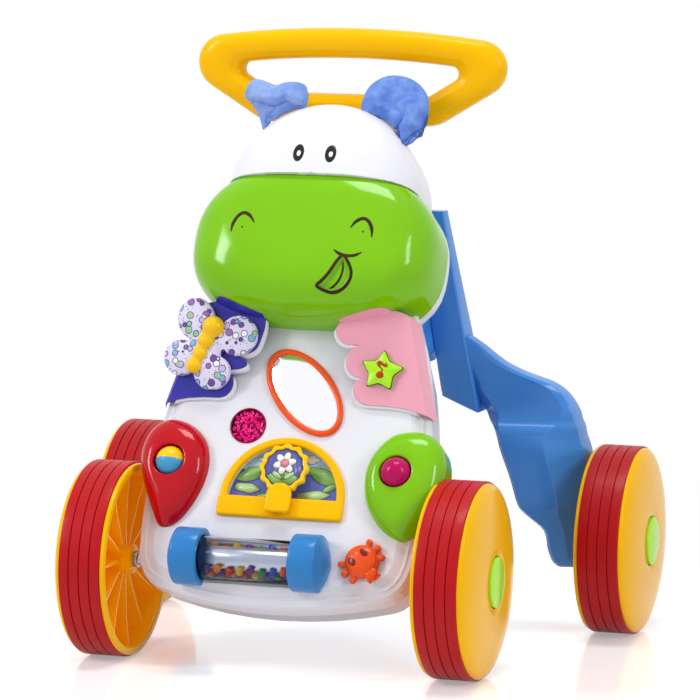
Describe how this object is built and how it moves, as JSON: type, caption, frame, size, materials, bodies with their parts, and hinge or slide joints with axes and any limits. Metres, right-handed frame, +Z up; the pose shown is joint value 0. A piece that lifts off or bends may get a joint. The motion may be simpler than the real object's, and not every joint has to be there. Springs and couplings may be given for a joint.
{
  "type": "baby walker",
  "caption": "Upright push-along baby walker: a leaning, animal-faced play panel with buttons, a bead roller, mirror and window, two splayed rear legs, a loop handle and wide wheels.",
  "frame": {"origin": "on the floor, midway between the two axles, on the middle plane", "axes": "+Z up; +Y back towards the person who pushes it, so the face looks along -Y; +X to the right as seen from the front"},
  "size_m": [0.4292, 0.3656, 0.4479],
  "materials": {
    "white_plastic": "gloss",
    "green_plastic": "gloss",
    "indigo_plastic": "gloss",
    "pink_plastic": "gloss",
    "red_plastic": "gloss",
    "orange_plastic": "gloss",
    "yellow_plastic": "gloss",
    "blue_plastic": "gloss",
    "sky_plastic": "gloss",
    "lemon_plastic": "gloss",
    "magenta_plastic": "gloss",
    "lime_plastic": "gloss",
    "clear_plastic": "clear gloss",
    "pink_clear": "clear gloss",
    "silver_plastic": "metallic",
    "bead_mix": "gloss",
    "black_plastic": "matte",
    "tyre_red": "satin",
    "steel": "plain",
    "mirror": "mirror",
    "card": "printed",
    "plush_blue": "plush",
    "print_fabric": "printed satin",
    "board": "matte",
    "battery": "wrapped"
  },
  "bodies": {
    "walker": {"front_shell": "white_plastic", "back_shell": "white_plastic", "head_dome": "white_plastic", "muzzle": "green_plastic", "left_sleeve": "indigo_plastic", "right_sleeve": "pink_plastic", "left_pod": "red_plastic", "right_pod": "green_plastic", "mirror_ring": "orange_plastic", "mirror": "mirror", "gem_lens": "pink_clear", "gem_crystals": "magenta_plastic", "window_frame": "yellow_plastic", "window_card": "card", "medallion_pin": "yellow_plastic", "roller_bracket_left": "blue_plastic", "roller_bracket_right": "blue_plastic", "roller_shaft": "steel", "spin_ball_pin": "steel", "button_springs": "steel", "butterfly_wings": "print_fabric", "butterfly_body": "lemon_plastic", "left_ear": "plush_blue", "right_ear": "plush_blue", "frame_hub": "blue_plastic", "side_frame_left": "blue_plastic", "side_frame_right": "blue_plastic", "handle": "yellow_plastic", "front_axle": "steel", "rear_axles": "steel", "axle_push_nuts": "steel", "battery_box": "black_plastic", "battery_door": "white_plastic", "batteries": "battery", "circuit_board": "board", "speaker": "black_plastic", "shell_screws": "steel"},
    "front_left_wheel": {"front_left_rim": "yellow_plastic", "front_left_tyre": "tyre_red", "front_left_cap": "lime_plastic"},
    "front_right_wheel": {"front_right_rim": "yellow_plastic", "front_right_tyre": "tyre_red", "front_right_cap": "lime_plastic"},
    "rear_left_wheel": {"rear_left_rim": "yellow_plastic", "rear_left_tyre": "tyre_red", "rear_left_cap": "lime_plastic"},
    "rear_right_wheel": {"rear_right_rim": "yellow_plastic", "rear_right_tyre": "tyre_red", "rear_right_cap": "lime_plastic"},
    "roller": {"roller_tube": "clear_plastic", "roller_core": "silver_plastic", "roller_beads": "bead_mix"},
    "spin_ball": {"spin_ball_top": "lemon_plastic", "spin_ball_bottom": "sky_plastic"},
    "dome_button": {"push_dome": "magenta_plastic"},
    "star": {"star_button": "lime_plastic", "star_note": "orange_plastic"},
    "medallion": {"medallion": "lemon_plastic"},
    "beetle": {"beetle_switch": "orange_plastic"}
  },
  "joints": [
    {"name": "front_left_roll", "type": "hinge", "parent": "walker", "child": "front_left_wheel", "pos_m": [0, -0.11275, 0.07], "axis": [1, 0, 0], "continuous": true},
    {"name": "front_right_roll", "type": "hinge", "parent": "walker", "child": "front_right_wheel", "pos_m": [0, -0.11275, 0.07], "axis": [1, 0, 0], "continuous": true},
    {"name": "rear_left_roll", "type": "hinge", "parent": "walker", "child": "rear_left_wheel", "pos_m": [0, 0.11275, 0.07], "axis": [1, 0, 0], "continuous": true},
    {"name": "rear_right_roll", "type": "hinge", "parent": "walker", "child": "rear_right_wheel", "pos_m": [0, 0.11275, 0.07], "axis": [1, 0, 0], "continuous": true},
    {"name": "roller_spin", "type": "hinge", "parent": "walker", "child": "roller", "pos_m": [0, -0.15298, 0.0816], "axis": [1, 0, 0], "continuous": true},
    {"name": "ball_spin", "type": "hinge", "parent": "walker", "child": "spin_ball", "pos_m": [-0.084, -0.12043, 0.14302], "axis": [1, 0, 0], "continuous": true},
    {"name": "dome_press", "type": "slide", "parent": "walker", "child": "dome_button", "axis": [0, 0.8902, -0.4555], "range_m": [0, 0.0025], "stiffness_N_per_m": 500, "springref_m": -0.001},
    {"name": "star_press", "type": "slide", "parent": "walker", "child": "star", "axis": [0, 0.9655, -0.2605], "range_m": [0, 0.002], "stiffness_N_per_m": 500, "springref_m": -0.001},
    {"name": "medallion_swing", "type": "hinge", "parent": "walker", "child": "medallion", "pos_m": [0.0006, -0.13273, 0.11898], "axis": [0, -0.8902, 0.4555], "range_deg": [-30, 30]},
    {"name": "beetle_turn", "type": "hinge", "parent": "walker", "child": "beetle", "pos_m": [0.067, -0.14714, 0.08423], "axis": [0, -0.8902, 0.4555], "range_deg": [0, 40]}
  ]
}
